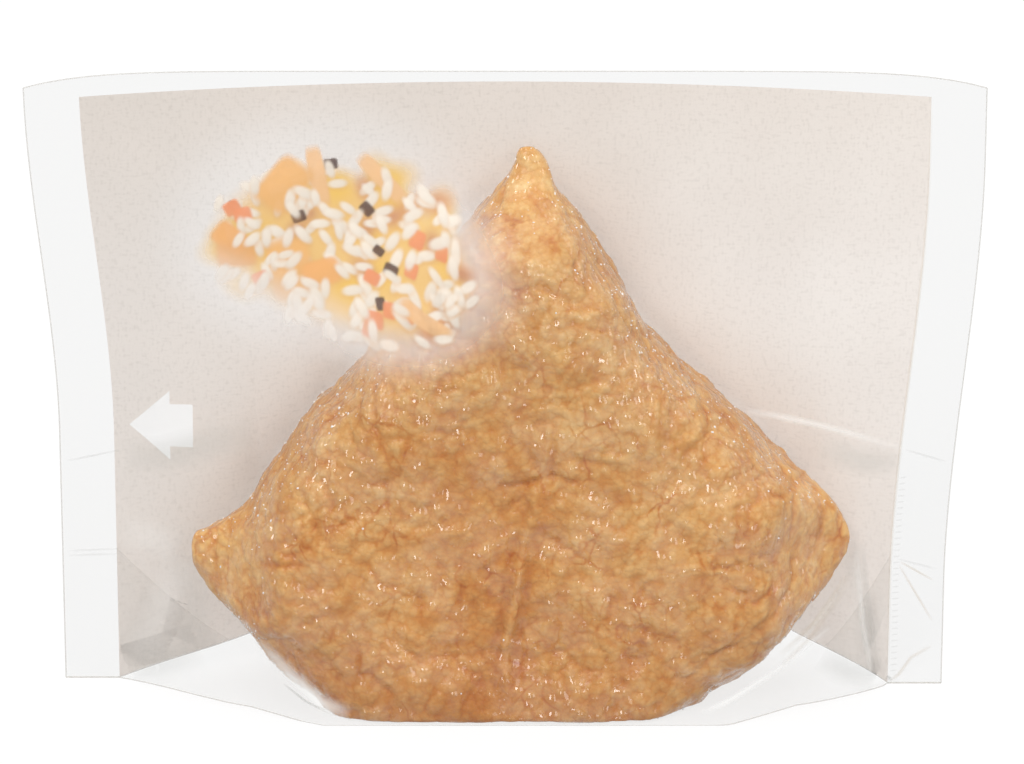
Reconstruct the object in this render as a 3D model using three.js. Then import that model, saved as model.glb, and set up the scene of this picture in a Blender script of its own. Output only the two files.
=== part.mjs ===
// Inari sushi in a clear film pack that stands on its opened bottom gusset.
// One closed solid of the filled pack's outer form, in millimetres, +Z up.
// The origin is at the middle of the base, and the front of the pack faces -Y.
import * as THREE from 'three';
import { mergeGeometries, mergeVertices } from 'three/addons/utils/BufferGeometryUtils.js';

// Pack outline, seen from the front
const PACK_HEIGHT = 94.8;
const CORNER_DROOP = 2.5; // the top edge falls off towards both seals
const DROOP_POWER = 8;
const SEAL_WIDTH = 8;
const SEAL_THICKNESS = 0.8;

// Outer edge of each side seal: its half width low down and at the top, where it flares between,
// and how far its foot ends clear of the surface
const LEFT_EDGE = { low: 65.7, high: 69.7, flareFrom: 40, flareTo: 94, foot: 1.4 };
const RIGHT_EDGE = { low: 65.2, high: 69.7, flareFrom: 16, flareTo: 82, foot: 0.5 };

// Base panel: how far it opens, and over what length and how steeply each end opens from its seal
const BASE_HALF_DEPTH = 16.5;
const LEFT_GUSSET = { length: 31, power: 1 };
const RIGHT_GUSSET = { length: 24, power: 0.75 };

// Peaks of the base panel between each seal and the middle part that rests: how far each slopes
// down to its seal and to the middle, and its height at the front and back edges
const LEFT_PEAK = { at: -37.5, toSeal: 20, toMiddle: 8, front: 0.8, back: 5 };
const RIGHT_PEAK = { at: 43, toSeal: 14, toMiddle: 12, front: 1.2, back: 5 };

// The filled tofu pouch inside, from the front: a plump triangle with cut lower corners and flat ears
const FOOD_HALF_DEPTH = 15.3;
const FOOD_CORNERS = {
  apex: new THREE.Vector2(3.6, 83.3),
  right: new THREE.Vector2(51, 23.5),
  footRight: new THREE.Vector2(26, 0.4),
  footLeft: new THREE.Vector2(-24.5, 0.4),
  left: new THREE.Vector2(-46.8, 22),
};
const FLANK_SWELL = 7; // how fast the pouch swells in from an edge: by two thirds over this length
const FOOT_SWELL = 0.7;
const EARS = { flat: 2.2, reach: 11, thinness: 0.3 }; // lengths from each tip, and share of the full depth
const FILM_CLEARANCE = 0.4; // from the food to the outside of the film

// Above these heights the film clings to the food and lies flat a short way from it
const DRAPE = { length: 6, from: 22, to: 40 };

// Mesh fineness
const COLUMNS = 58;
const ROWS = 42;
const STRIPS = 4; // across the base panel and the thin edges
const RELAX_ROUNDS = 900;

const { lerp, smoothstep, clamp } = THREE.MathUtils;

// Half width of a seal's outer edge at a height
function edgeHalfWidth(edge, z) {
  return lerp(edge.low, edge.high, smoothstep(z, edge.flareFrom, edge.flareTo));
}

// Where a column of the grid stands across the pack: the outermost two are the seals' outer edges
function columnX(column, z) {
  const left = -edgeHalfWidth(LEFT_EDGE, z);
  const right = edgeHalfWidth(RIGHT_EDGE, z);
  if (column === 0) return left;
  if (column === COLUMNS) return right;
  const share = (column - 1) / (COLUMNS - 2);
  return lerp(left + SEAL_WIDTH, right - SEAL_WIDTH, share);
}

// Rise of the base near a peak, from side -1 at the front edge to 1 at the back edge
function peakRise(x, peak, side) {
  const outward = (x - peak.at) * Math.sign(peak.at);
  const slope = outward > 0 ? peak.toSeal : peak.toMiddle;
  const share = 1 - clamp(Math.abs(outward) / slope, 0, 1);
  return share * lerp(peak.front, peak.back, (side + 1) / 2);
}

// Height of the pack's lower edge, which also follows the lifted feet of the seals
function bottomEdge(column, side) {
  const x = columnX(column, 0);
  const leftFoot = LEFT_EDGE.foot * (1 - smoothstep(x, columnX(1, 0), LEFT_PEAK.at));
  const rightFoot = RIGHT_EDGE.foot * smoothstep(x, RIGHT_PEAK.at, columnX(COLUMNS - 1, 0));
  return peakRise(x, LEFT_PEAK, side) + peakRise(x, RIGHT_PEAK, side) + leftFoot + rightFoot;
}

// Height of the folded top edge
function topEdge(column) {
  const across = columnX(column, PACK_HEIGHT) / RIGHT_EDGE.high;
  return PACK_HEIGHT - CORNER_DROOP * Math.abs(across) ** DROOP_POWER;
}

// A grid point of the pack's face, as x across and y up
function facePoint(column, row, side) {
  const z = lerp(bottomEdge(column, side), topEdge(column), row / ROWS);
  return new THREE.Vector2(columnX(column, z), z);
}

// Share that one end of the base has opened at a distance from its seal
function openedShare(distance, gusset) {
  return clamp(distance / gusset.length, 0, 1) ** gusset.power;
}

// How far the base's edge stands from the middle plane
function baseHalfDepth(column) {
  const x = columnX(column, 0);
  const fromLeft = openedShare(x - columnX(1, 0), LEFT_GUSSET);
  const fromRight = openedShare(columnX(COLUMNS - 1, 0) - x, RIGHT_GUSSET);
  return lerp(SEAL_THICKNESS / 2, BASE_HALF_DEPTH, fromLeft * fromRight);
}

// Distance of a point inwards from the edge that runs clockwise from one corner to the next
function insideEdge(point, from, to) {
  const along = to.clone().sub(from).normalize();
  const offset = point.clone().sub(from);
  return offset.cross(along);
}

// Share of the full depth that the flat ears leave at a point
function earThinning(point) {
  const { apex, right, left } = FOOD_CORNERS;
  const nearest = Math.min(...[apex, right, left].map((tip) => point.distanceTo(tip)));
  return lerp(EARS.thinness, 1, smoothstep(nearest, EARS.flat, EARS.reach));
}

// Half depth of the filled pouch at a point of its front view, zero outside its outline
function foodHalfDepth(point) {
  const { apex, right, footRight, footLeft, left } = FOOD_CORNERS;
  const edges = [
    [apex, right, FLANK_SWELL],
    [right, footRight, FLANK_SWELL],
    [footRight, footLeft, FOOT_SWELL],
    [footLeft, left, FLANK_SWELL],
    [left, apex, FLANK_SWELL],
  ];
  const fullness = edges.reduce((product, [from, to, swell]) => {
    const inwards = Math.max(insideEdge(point, from, to), 0);
    return product * (1 - Math.exp(-inwards / swell));
  }, 1);
  return FOOD_HALF_DEPTH * earThinning(point) * Math.sqrt(1 - (1 - fullness) ** 2);
}

// What the sum of four neighbours is divided by at a height: more than four where the film clings
function averageOver(z) {
  const step = PACK_HEIGHT / ROWS;
  return 4 + smoothstep(z, DRAPE.from, DRAPE.to) * (step / DRAPE.length) ** 2;
}

// Half depth of the film on one side: held flat at the seals and the top, opened at the base, and
// drawn tight between by repeated averaging that never cuts into the food
function filmHalfDepths(side) {
  const flat = SEAL_THICKNESS / 2;
  const depth = [];
  const least = [];
  const parts = [];
  for (let column = 0; column <= COLUMNS; column++) {
    depth.push(new Array(ROWS + 1).fill(flat));
    depth[column][0] = baseHalfDepth(column);
    least.push([]);
    parts.push([]);
    for (let row = 0; row <= ROWS; row++) {
      const point = facePoint(column, row, side);
      const food = foodHalfDepth(point);
      least[column].push(food > 0 ? food + FILM_CLEARANCE : flat);
      parts[column].push(averageOver(point.y));
    }
  }
  for (let round = 0; round < RELAX_ROUNDS; round++) {
    for (let column = 2; column < COLUMNS - 1; column++) {
      for (let row = 1; row < ROWS; row++) {
        const beside = depth[column - 1][row] + depth[column + 1][row];
        const upright = depth[column][row - 1] + depth[column][row + 1];
        depth[column][row] = Math.max((beside + upright) / parts[column][row], least[column][row]);
      }
    }
  }
  return depth;
}

// A rectangular patch whose points are placed by whole steps across and up
function patch(stepsAcross, stepsUp, place) {
  const geometry = new THREE.PlaneGeometry(1, 1, stepsAcross, stepsUp);
  const position = geometry.attributes.position;
  const uv = geometry.attributes.uv;
  for (let index = 0; index < position.count; index++) {
    const across = Math.round(uv.getX(index) * stepsAcross);
    const up = Math.round(uv.getY(index) * stepsUp);
    const point = place(across, up);
    position.setXYZ(index, point.x, point.y, point.z);
  }
  geometry.deleteAttribute('normal');
  geometry.deleteAttribute('uv');
  return geometry;
}

// Which share of the half depth a strip stands at, from -1 at the front to 1 at the back
function frontToBack(strip) {
  return (2 * strip) / STRIPS - 1;
}

// The closed skin of the filled pack: front, back, both seal edges, top edge and base panel
function packGeometry() {
  const front = filmHalfDepths(-1);
  const back = filmHalfDepths(1);
  const skinPoint = (column, row, side) => {
    const point = facePoint(column, row, side);
    const depth = side < 0 ? front : back;
    return new THREE.Vector3(point.x, side * depth[column][row], point.y);
  };
  const skin = mergeGeometries([
    patch(COLUMNS, ROWS, (across, up) => skinPoint(across, up, -1)),
    patch(COLUMNS, ROWS, (across, up) => skinPoint(COLUMNS - across, up, 1)),
    patch(STRIPS, ROWS, (across, up) => skinPoint(COLUMNS, up, frontToBack(across))),
    patch(STRIPS, ROWS, (across, up) => skinPoint(0, up, -frontToBack(across))),
    patch(COLUMNS, STRIPS, (across, up) => skinPoint(across, ROWS, frontToBack(up))),
    patch(COLUMNS, STRIPS, (across, up) => skinPoint(across, 0, -frontToBack(up))),
  ]);
  const geometry = mergeVertices(skin);
  geometry.computeVertexNormals();
  return geometry;
}

const filmBag = new THREE.Mesh(
  packGeometry(),
  new THREE.MeshStandardMaterial({ color: 0xcf9c66, roughness: 0.3, metalness: 0 }),
);
filmBag.name = 'film_bag';

const pack = new THREE.Group();
pack.add(filmBag);

export default pack;
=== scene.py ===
import math

import bpy
import numpy as np
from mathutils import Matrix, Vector, geometry, noise


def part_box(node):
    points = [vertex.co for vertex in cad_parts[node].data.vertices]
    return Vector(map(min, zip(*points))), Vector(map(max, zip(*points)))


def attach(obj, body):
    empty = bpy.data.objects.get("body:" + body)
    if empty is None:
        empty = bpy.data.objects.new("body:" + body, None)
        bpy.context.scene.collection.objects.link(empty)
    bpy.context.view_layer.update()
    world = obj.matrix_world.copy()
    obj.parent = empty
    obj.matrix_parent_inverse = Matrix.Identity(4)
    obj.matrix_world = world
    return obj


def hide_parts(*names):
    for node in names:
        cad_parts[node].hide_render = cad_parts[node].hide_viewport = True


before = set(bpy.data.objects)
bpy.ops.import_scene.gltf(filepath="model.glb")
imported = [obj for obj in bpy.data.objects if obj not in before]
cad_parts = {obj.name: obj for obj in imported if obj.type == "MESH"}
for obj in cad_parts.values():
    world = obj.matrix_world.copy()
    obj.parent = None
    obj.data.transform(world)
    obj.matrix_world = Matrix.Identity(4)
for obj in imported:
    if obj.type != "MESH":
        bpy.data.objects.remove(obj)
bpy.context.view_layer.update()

MM = 0.001
SEED = 11
FRONT, BACK = -1.0, 1.0
PLAIN = (1.0, 1.0, 1.0)

# Pack outline, as in the solid that the film replaces
_, BOX_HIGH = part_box("film_bag")
PACK_HEIGHT = BOX_HIGH[2] / MM
TOP_HALF_WIDTH = BOX_HIGH[0] / MM
BASE_HALF_DEPTH = BOX_HIGH[1] / MM
CORNER_DROOP = 2.5
DROOP_POWER = 8
SEAL_WIDTH = 8.0
SEAL_HALF_GAP = 0.12
LEFT_EDGE = {"low": 65.7, "flare_from": 40.0, "flare_to": 94.0, "foot": 1.4}
RIGHT_EDGE = {"low": 65.2, "flare_from": 16.0, "flare_to": 82.0, "foot": 0.5}
LEFT_GUSSET = {"length": 31.0, "power": 1.0, "ridge": 28.0}
RIGHT_GUSSET = {"length": 24.0, "power": 0.75, "ridge": 15.0}
LEFT_PEAK = {"at": -37.5, "to_seal": 20.0, "to_middle": 8.0, "front": 0.8, "back": 5.0}
RIGHT_PEAK = {"at": 43.0, "to_seal": 14.0, "to_middle": 12.0, "front": 1.2, "back": 5.0}
RIDGE_RISE = 20.5
RIDGE_CURVE = 1.6

# Above these heights the film clings to the food and lies flat a short way from it
DRAPE = {"length": 6.0, "from": 22.0, "to": 40.0}

# Film mesh
SEAL_COLUMNS = 12
INNER_COLUMNS = 170
FILM_ROWS = 136
GUSSET_STRIPS = 24
RELAX_ROUNDS = 1500
FILM_CLEARANCE = 0.22
REACH_GRID = {"spacing": 0.8, "rows": 125, "columns": 190, "left": -75.0}

# Print on the film: the beige back panel, and the picture, its soft pale glow and the arrow in front
PRINT_INSET = 0.06
PANEL_TOP = 93.2
PANEL_CORNER_DROP = 2.3
PICTURE_CENTRE = (-26.0, 70.2)
MOUND_SHIFT = (2.4, -2.0)
PICTURE_PIXEL = 0.2
MOUND_RADII = (20.6, 12.6)
MIST_REACH = 1.42
MIST_COVER = 0.6
MIST_SIDE = (0.785, -0.62)
MIST_FROM, MIST_TO = 5.0, 14.0
GLOW_RADII = (26.0, 21.0)
MOUND_TILT = math.radians(-9.0)
ARROW_TIP = (-55.4, 41.2)
ARROW_HEAD = (6.0, 5.2)
ARROW_TAIL = (3.4, 3.2)

# Inks of the picture, as linear colours, and its morsels: half sizes, how square, soft-edged and round
# they look, how many there are of each, and any that have places of their own
GLOW_INK = (0.83, 0.80, 0.78)
RICE_FIELD = (0.85, 0.56, 0.22)
GRAIN_SHADOW = (0.74, 0.41, 0.16)
PATCH = {"square": 2.0, "soft": 1.0, "round": 0.0}
CUT = {"square": 5.0, "soft": 0.25, "round": 0.06}
GRAIN = {"square": 2.2, "soft": 0.5, "round": 0.1}
MORSELS = [
    PATCH | {"size": (4.2, 2.8), "colour": (0.87, 0.56, 0.14), "count": 20},
    PATCH | {"size": (3.0, 2.2), "colour": (0.62, 0.30, 0.17), "count": 10,
             "placed": [(6.0, 1.6), (17.0, -8.6)]},
    CUT | {"size": (4.5, 3.1), "colour": (0.89, 0.50, 0.19), "count": 1, "placed": [(-6.2, 7.6)]},
    CUT | {"size": (3.2, 2.2), "colour": (0.87, 0.45, 0.17), "count": 1,
           "placed": [(-0.8, -5.4), (-13.2, -2.8)]},
    CUT | {"size": (4.3, 1.2), "colour": (0.89, 0.56, 0.30), "count": 2, "placed": [(8.1, 8.8)]},
    CUT | {"size": (1.3, 1.1), "colour": (0.87, 0.33, 0.16), "count": 9,
           "placed": [(12.4, -3.8), (-9.7, -6.5)]},
    CUT | {"size": (1.0, 0.8), "colour": (0.11, 0.06, 0.05), "count": 2,
           "placed": [(0.7, 10.8), (-13.6, 4.4), (9.4, -4.2), (5.9, 4.2), (7.9, -9.0)]},
    GRAIN | {"size": (1.7, 0.8), "colour": (0.88, 0.80, 0.70), "count": 190},
]

# Film edges, and the crimp marks of the right seal
EDGE_RADIUS = 0.1
TICK_SPAN = (2.5, 33.0)
TICK_PITCH = 0.95
TICK_SHARE = 2.04
TICK_LENGTH = 1.1
TICK_WIDTH = 0.42
TICK_STRENGTH = 0.32

# Soft folds of the front film: places along each in x and z, its width and how strongly it shows
# Grey strips: painted shade along the film's folds, seams and gaps
PAINTED_SHADE_FOLDS = [
    ([(-56.4, 35.8), (-50.0, 36.6), (-43.0, 39.0), (-35.7, 41.3)], 6.5, 0.5),
    ([(-46.5, 22.5), (-45.6, 15.0), (-47.0, 9.0)], 8.0, 0.35),
    ([(-56.2, 2.8), (-52.0, 4.8), (-45.0, 8.5)], 8.0, 0.35),
    ([(58.6, 35.2), (53.0, 35.8), (46.0, 38.6)], 5.2, 0.5),
    ([(50.9, 24.5), (52.0, 20.0), (53.8, 9.0), (55.2, 2.0)], 4.2, 0.35),
    ([(52.8, 24.0), (53.8, 14.0), (55.4, 2.6)], 1.3, 0.35),
    ([(55.4, 2.2), (51.0, 4.4), (46.5, 7.6)], 5.0, 0.5),
    ([(-64.6, 35.6), (-57.0, 37.2)], 0.5, 0.5),
    ([(-64.8, 21.5), (-57.2, 21.8)], 0.5, 0.4),
    ([(-64.8, 20.8), (-57.2, 21.0)], 0.5, 0.4),
    ([(59.0, 37.3), (65.2, 35.4)], 0.5, 0.45),
    ([(58.2, 20.2), (64.2, 18.6)], 0.5, 0.4),
    ([(57.0, 1.7), (57.9, 0.9)], 0.8, 1.0),
    ([(-32.6, 5.4), (-29.4, 3.2), (-25.0, 1.5)], 0.6, 0.9),
]
# Pale strips: painted highlights on the film along its folds and where it leaves the food
PAINTED_HIGHLIGHT_FOLDS = [
    ([(-36.6, 12.0), (-31.2, 6.6), (-27.0, 3.2), (-22.6, 1.7)], 3.2, 0.75),
    ([(48.0, 12.0), (40.0, 7.2), (33.0, 3.6), (28.7, 1.9)], 1.2, 0.6),
    ([(35.3, 45.2), (46.3, 41.8), (58.6, 37.5)], 1.3, 0.42),
    ([(-57.0, 24.6), (-53.0, 24.4), (-48.0, 23.0)], 7.0, 0.2),
    ([(-47.6, 22.0), (-50.7, 14.6), (-55.1, 4.6)], 7.0, 0.2),
    ([(51.9, 23.0), (53.1, 11.0), (54.8, 2.2)], 1.4, 0.35),
    ([(50.2, 18.2), (45.0, 12.2), (40.4, 8.6)], 1.2, 0.3),
]
WARM_FOLDS = [
    ([(51.0, 19.6), (45.6, 13.2), (40.2, 9.4)], 1.6, 0.4),
    ([(50.0, 17.2), (45.0, 11.2), (40.6, 7.8)], 1.4, 0.35),
    ([(58.5, 19.2), (63.7, 10.3)], 0.5, 0.6),
    ([(58.6, 19.8), (63.7, 16.8)], 0.5, 0.6),
    ([(63.7, 6.5), (60.6, 4.6), (58.8, 1.9), (57.4, 0.7)], 0.8, 0.5),
]
FOLD_LIFT = 0.05
FOLD_STEPS = 40
FOLD_STRIPS = 9
PATH_POINTS = 60

# Outline of the tofu pouch from the front, clockwise from its apex, and its three flat ears
FOOD_OUTLINE = [
    (2.2, 83.2), (4.6, 83.1), (6.3, 80.6), (7.5, 76.9), (10.7, 73.0), (14.6, 67.0), (18.0, 61.2),
    (21.5, 54.8), (29.1, 47.4), (37.8, 38.4), (45.5, 32.4), (49.5, 27.8), (51.2, 23.2), (49.4, 19.0),
    (46.0, 14.4), (40.5, 8.6), (36.4, 4.3), (31.0, 1.2), (25.0, 0.4), (0.0, 0.3), (-23.0, 0.3),
    (-29.6, 1.5), (-33.2, 4.0), (-36.0, 7.2), (-38.6, 10.4), (-41.6, 13.4), (-44.2, 16.0),
    (-46.4, 19.6), (-46.2, 24.0), (-43.9, 25.3), (-38.4, 28.8), (-36.0, 32.5), (-31.8, 38.2),
    (-28.4, 43.4), (-22.8, 48.6), (-11.4, 63.8), (-1.1, 77.1), (1.1, 80.4),
]
FOOD_EARS = [((3.5, 83.2), 12.0), ((51.2, 23.2), 13.0), ((-46.4, 21.8), 12.0)]
EAR_THINNESS = 0.27
EAR_RISE = (0.15, 1.25)
# Reach of the ears' share, which thins their relief and paints them lighter as a painted glow
EAR_TONE = (0.3, 1.3)
FOOD_HALF_DEPTH = 16.4
FOOD_SAG = {"share": 0.1, "height": 14.0, "middle": -1.0, "full": 14.0, "ends": 32.0}
FOOT_CUT = {"from": 20.0, "depth": 17.0, "rise": 1.3}
FOOD_RIM = 0.7
FOOD_EDGE_LENGTH = 7.0
FOOD_FLOOR = 0.35
FOOD_SPAN_X, FOOD_SPAN_Z = (-50.0, 55.0), (0.0, 87.0)
FOOD_GRID = 0.5
FOOD_ROUNDS = 700
FOOD_VOXEL = 0.445

# Relief of the fried skin: how it is warped, soft swells, large lumps with valley lines between, and
# small domes
WARPS = [(10.0, 3.0), (3.4, 0.9)]
SWELL = {"size": 17.0, "height": 0.65}
LUMPS = [
    {"size": 11.0, "height": 0.75, "cut": 0.34, "line": 0.6, "patch": 13.0},
    {"size": 5.0, "height": 0.65, "cut": 0.24, "line": 0.5, "patch": 8.0},
]
LUMP_SHIFT = Vector((31.0, 8.0, 9.0))
VALLEY_WIDTH = 0.045
DOMES = [{"size": 2.6, "height": 0.22, "share": 0.6}, {"size": 1.5, "height": 0.12, "share": 0.4}]
DOME_REACH = 0.62

# Creases of the skin, which the colour darkens as painted shade: fine seeded ones on both faces, and the
# long ones of the front
CREASE_COUNT = 60
CREASE_AREA = ((-42.0, 2.0), (47.0, 76.0))
CREASE_LENGTHS = (2.5, 10.0)
CREASE_WIDTH = 0.42
CREASE_DEPTH = 0.35
CREASE_WANDER = 0.8
LONG_CREASES = [
    [(-18.2, 52.7), (-18.6, 47.0), (-17.9, 40.7)], [(-17.2, 37.4), (-17.3, 33.0)],
    [(-26.4, 31.0), (-24.1, 33.2), (-21.9, 35.0)], [(-28.3, 30.7), (-26.1, 28.4)],
    [(-36.4, 23.2), (-32.5, 23.5), (-28.9, 24.7)], [(29.7, 24.2), (34.3, 23.3)],
    [(35.9, 17.3), (38.2, 19.2), (40.5, 20.4)], [(13.9, 20.4), (15.4, 18.9), (15.0, 14.9)],
    [(21.2, 14.9), (19.5, 10.7)], [(-5.9, 23.5), (-6.4, 20.0), (-6.1, 17.3)],
    [(46.0, 35.0), (46.6, 29.0), (46.0, 22.0)], [(-42.8, 26.0), (-43.4, 21.0), (-42.6, 17.0)],
    [(2.6, 33.0), (0.4, 25.0), (-0.5, 17.5), (-1.6, 11.5), (-1.2, 4.0)],
    [(6.2, 34.0), (4.0, 25.0), (3.0, 17.5), (1.7, 11.5), (1.8, 5.0)],
    [(7.4, 47.0), (6.8, 40.0), (6.4, 34.0)], [(9.0, 61.5), (13.0, 59.5), (17.0, 58.2)],
]

# Narrow ridge low in the centre fold, painted pale as a painted highlight, with a dark line of painted shade
# along each side
SEAM_RIDGE = [(4.6, 36.0), (2.4, 26.0), (1.3, 17.5), (0.0, 11.5), (0.2, 3.0)]
SEAM_WIDTH = 0.85
SEAM_HEIGHT = 0.7
SEAM_REACH = 2.2

# Upright valley down the middle of the front, darkened a little as painted shade, and a broad darker band of
# painted shade beside it, where the skin faces ahead enough
FACING_FRONT = -0.3
CENTRE_FOLD = {"x": 2.4, "drift": 1.2, "width": 4.0, "depth": 0.7, "rise": (1.0, 8.0), "fade": (50.0, 74.0)}
MIDDLE_SHADE = {"x": -5.0, "width": 9.0, "strength": 0.3, "fade": (36.0, 60.0)}

# Dimples of the front, darkened as painted shade: place in x and z, radius and depth
DIMPLES = [
    ((19.5, 9.8), 2.0, 0.9), ((7.2, 28.0), 1.8, 0.5), ((35.0, 19.4), 0.55, 0.7), ((47.6, 24.6), 0.9, 0.5),
]

# White beads on the skin as painted glints, most of them where it faces up and left towards the light, and
# along its rim
BEAD_COUNT = 2600
BEAD_RADII = (0.05, 0.19)
GLINT_FACING = (-0.45, 0.5, 0.74)
BEAD_RIM = 0.35
LOW_RIM = 14.0
BEAD_BANDS, BEAD_TURNS = 5, 7

# Tones of the skin and of the beige print, by the patterns that lead them, as linear colours
SKIN_TONES = {
    "blotch": [(0.30, (0.635, 0.34, 0.11)), (0.50, (0.68, 0.39, 0.14)), (0.70, (0.73, 0.445, 0.182))],
    # Painted highlight and shade: lighter and whiter on the tops of the domes and the seam ridge, darker at
    # the domes' feet
    "dome": [(0.05, (0.94, 0.82, 0.67)), (0.40, (1.0, 0.98, 0.95)), (0.85, (1.05, 1.08, 1.15))],
    # The skin's own orange veins at the cell edges, with the raised cell tops painted lighter as a painted
    # highlight
    "vein": [(0.05, (1.04, 1.05, 1.07)), (0.42, (1.0, 0.99, 0.98)), (0.72, (0.94, 0.83, 0.69))],
    "spot": [(0.35, (0.96, 0.89, 0.79)), (0.65, (1.03, 1.045, 1.08))],
    "fleck": [(0.32, (0.96, 0.94, 0.91)), (0.62, (1.02, 1.02, 1.01))],
    # Darker along the skin's own lines between the lumps, and painted shade in its creases, beside the seam
    # ridge, in the centre valley, in the dimples and in the band beside the fold
    "crease": [(0.0, PLAIN), (0.45, (0.92, 0.79, 0.62)), (1.0, (0.78, 0.58, 0.38))],
    "crack": [(0.0, PLAIN), (1.0, (0.83, 0.61, 0.37))],
    # Painted glow: the thin ears painted lighter, as if lit through
    "ear": [(0.0, PLAIN), (1.0, (1.15, 1.22, 1.2))],
    # Painted shade: darker towards the bottom, most in the lowest few millimetres by the floor; a little
    # less red from 50 mm up
    "height": [(0.0, (0.76, 0.66, 0.55)), (0.14, (0.87, 0.80, 0.73)), (0.45, (0.99, 0.985, 0.98)),
               (1.0, (0.93, 0.96, 1.0))],
}
CRACK_CELLS = (270.0, 270.0, 190.0)
DROP_CELLS = (560.0, 560.0, 380.0)
PANEL_TONES = {
    "drift": [(0.25, (0.74, 0.69, 0.65)), (0.5, (0.785, 0.725, 0.68)), (0.8, (0.85, 0.80, 0.76))],
    "weave": [(0.7, (0.94, 0.935, 0.93)), (1.0, (1.03, 1.03, 1.03))],
    "glow": [(0.0, PLAIN), (1.0, (1.06, 1.10, 1.14))],
    "height": [(0.0, PLAIN), (1.0, (0.95, 0.935, 0.915))],
}
PANEL_THREADS = ((900.0, 1.0, 2600.0), (2600.0, 1.0, 900.0))

# Camera, floor and soft lights: each light's name, place in metres, size and power
CAMERA_AIM = Vector((1.0, 0.0, 47.7)) * MM
CAMERA_ELEVATION = math.radians(17.5)
CAMERA_DISTANCE = 0.8
PHOTO_WIDTH = 1024
FOCAL_PIXELS = 5440.0
SENSOR_WIDTH = 36.0
FLOOR_HALF = 4.0
FLOOR_TONE = (0.12, 0.12, 0.12)
FLOOR_GLOW = 0.87
WORLD_STRENGTH = 0.58
LIGHTS = [
    ("overhead", (-0.1, -0.1, 1.3), 1.0, 6.0), ("key", (-0.38, -0.9, 0.75), 0.4, 5.6),
    ("fill", (0.65, -0.65, 0.55), 0.5, 3.0), ("back", (0.1, 0.9, 0.6), 0.6, 5.2),
]


def smoothstep(value, low, high):
    share = np.clip((value - low) / (high - low), 0.0, 1.0)
    return share * share * (3.0 - 2.0 * share)


# Mesh helpers

def link_object(name, data):
    """An object of the scene that shows a mesh, a camera or a light."""
    item = bpy.data.objects.new(name, data)
    bpy.context.scene.collection.objects.link(item)
    return item


def mesh_points(mesh):
    """Points and normals of a mesh's vertices."""
    points, normals = np.empty((2, len(mesh.vertices), 3))
    mesh.vertices.foreach_get("co", points.reshape(-1))
    mesh.vertex_normals.foreach_get("vector", normals.reshape(-1))
    return points, normals


def add_piece(name, points, faces, material, slot):
    """A smooth-shaded mesh piece from points in millimetres, riding on the one body."""
    mesh = bpy.data.meshes.new(name)
    mesh.from_pydata((np.asarray(points) * MM).tolist(), [], np.asarray(faces).tolist())
    mesh.shade_smooth()
    piece = link_object(name, mesh)
    piece.data.materials.append(material)
    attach(piece, "root")
    return piece


def set_attribute(piece, name, values):
    """One number for each vertex, for the material to read."""
    attribute = piece.data.attributes.new(name, "FLOAT", "POINT")
    attribute.data.foreach_set("value", np.asarray(values, dtype=np.float32))


def grid_faces(rows, columns):
    """Quads of a grid whose points are stored row by row."""
    index = np.arange(rows * columns).reshape(rows, columns)
    corners = (index[:-1, :-1], index[:-1, 1:], index[1:, 1:], index[1:, :-1])
    return np.stack(corners, axis=-1).reshape(-1, 4)


def closed_curve(points, steps):
    """A smooth closed curve through the points, with the same number of steps in each span."""
    knots = np.asarray(points, dtype=float)
    before, after = np.roll(knots, 1, axis=0), np.roll(knots, -1, axis=0)
    far = np.roll(knots, -2, axis=0)
    spans = []
    for step in range(steps):
        t = step / steps
        bend = 2 * before - 5 * knots + 4 * after - far
        twist = 3 * (knots - after) + far - before
        spans.append(knots + 0.5 * t * ((after - before) + t * (bend + t * twist)))
    return np.stack(spans, axis=1).reshape(-1, 2)


def inside_outline(x, z, outline):
    """Which points lie inside a closed outline, by counting the edges to their right."""
    crossings = np.zeros(x.shape, dtype=int)
    for (x0, z0), (x1, z1) in zip(outline, np.roll(outline, -1, axis=0)):
        if z0 == z1:
            continue
        spans = (z0 > z) != (z1 > z)
        crossings += spans & (x < x0 + (z - z0) * (x1 - x0) / (z1 - z0))
    return crossings % 2 == 1


def sample_grid(grid, x, z, x_start, z_start, spacing):
    """Values of a regular grid between its points."""
    column = np.clip((x - x_start) / spacing, 0, grid.shape[1] - 1.001)
    row = np.clip((z - z_start) / spacing, 0, grid.shape[0] - 1.001)
    left, low = column.astype(int), row.astype(int)
    right_share, high_share = column - left, row - low
    bottom = grid[low, left] * (1 - right_share) + grid[low, left + 1] * right_share
    top = grid[low + 1, left] * (1 - right_share) + grid[low + 1, left + 1] * right_share
    return bottom * (1 - high_share) + top * high_share


def fill_outline(outline, spacing):
    """Points and triangles that fill a closed outline, with inner points at an even spacing."""
    low, high = outline.min(axis=0), outline.max(axis=0)
    x, z = np.meshgrid(np.arange(low[0], high[0], spacing), np.arange(low[1], high[1], spacing))
    x[1::2] += spacing / 2
    inner = np.stack([x.ravel(), z.ravel()], axis=1)
    inner = inner[inside_outline(inner[:, 0], inner[:, 1], outline)]
    gap = np.min(np.hypot(*(inner[:, None, :] - outline[None, :, :]).transpose(2, 0, 1)), axis=1)
    inner = inner[gap > spacing * 0.6]
    points = [Vector(point) for point in np.concatenate([outline, inner])]
    edges = [(i, (i + 1) % len(outline)) for i in range(len(outline))]
    filled = geometry.delaunay_2d_cdt(points, edges, [], 1, 1e-4)
    flat = np.array([tuple(point) for point in filled[0]])
    return flat, np.array(filled[2])


# Tofu pouch

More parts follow.
